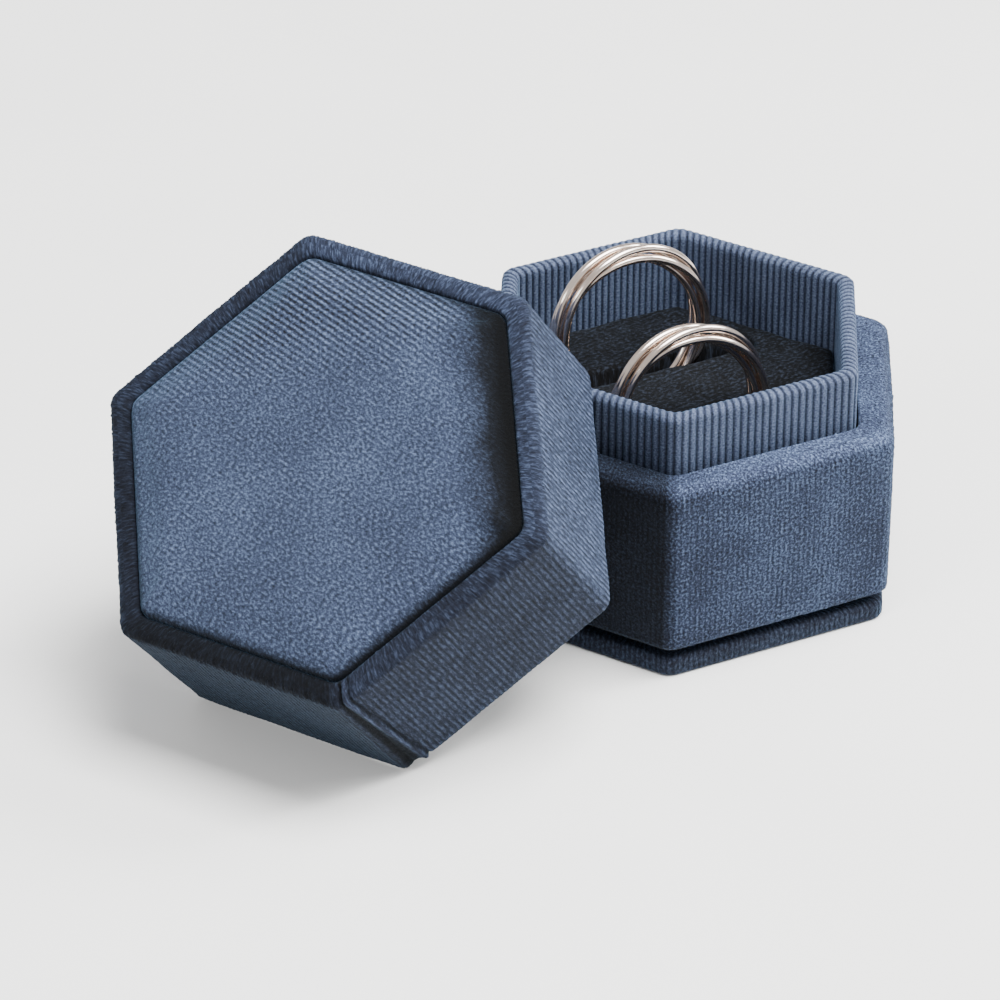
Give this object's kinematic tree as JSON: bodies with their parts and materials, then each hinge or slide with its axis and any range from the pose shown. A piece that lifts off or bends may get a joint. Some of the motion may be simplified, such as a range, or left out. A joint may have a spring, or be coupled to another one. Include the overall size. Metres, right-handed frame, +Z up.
{
  "type": "ring box",
  "caption": "Hexagonal velvet ring box with a lift-off lid leaning on its ribbed collar, and rings of linked bands standing in slots of a dark pad.",
  "frame": {"origin": "centre of the box's underside, on the surface that it stands on", "axes": "+Z up out of the box, X along the two ring slots, Y across them; the lid leans on the wall that faces -X and -Y"},
  "size_m": [0.1083, 0.066, 0.051],
  "materials": {
    "blue_velvet": "dusty blue short-pile velvet",
    "ribbed_velvet": "dusty blue velvet in fine upright ribs",
    "black_velvet": "near-black crushed velvet",
    "lining": "plain matte lining cloth",
    "greyboard": "unfinished greyboard",
    "black_card": "matte black card",
    "foam": "open-cell foam",
    "rose_gold": "polished pale rose gold"
  },
  "bodies": {
    "box": {"floor_velvet": "blue_velvet", "floor_board": "greyboard", "seam_card": "black_card", "wall_velvet": "blue_velvet", "wall_padding": "foam", "wall_board": "greyboard", "collar_velvet": "ribbed_velvet", "collar_board": "greyboard", "support_card": "greyboard", "pad_foam": "foam", "pad_velvet": "black_velvet"},
    "lid": {"lid_wall_velvet": "ribbed_velvet", "lid_wall_board": "greyboard", "lid_top_board": "greyboard", "lid_liner_card": "black_card", "lid_liner_fabric": "lining", "lid_ceiling_pad": "foam", "lid_ceiling_lining": "lining", "lid_panel_card": "greyboard", "lid_panel_foam": "foam", "lid_panel_velvet": "blue_velvet"},
    "back_ring": {"back_ring_band_1": "rose_gold", "back_ring_band_2": "rose_gold", "back_ring_band_3": "rose_gold", "back_ring_band_4": "rose_gold"},
    "front_ring": {"front_ring_band_1": "rose_gold", "front_ring_band_2": "rose_gold", "front_ring_band_3": "rose_gold", "front_ring_band_4": "rose_gold"}
  },
  "joints": [
    {"name": "lid_lift", "type": "slide", "parent": "box", "child": "lid", "axis": [0, 0, 1], "range_m": [0, 0.04]},
    {"name": "back_ring_lift", "type": "slide", "parent": "box", "child": "back_ring", "axis": [0, 0.0872, 0.9962], "range_m": [0, 0.018]},
    {"name": "front_ring_lift", "type": "slide", "parent": "box", "child": "front_ring", "axis": [0, 0.0872, 0.9962], "range_m": [0, 0.022]}
  ]
}
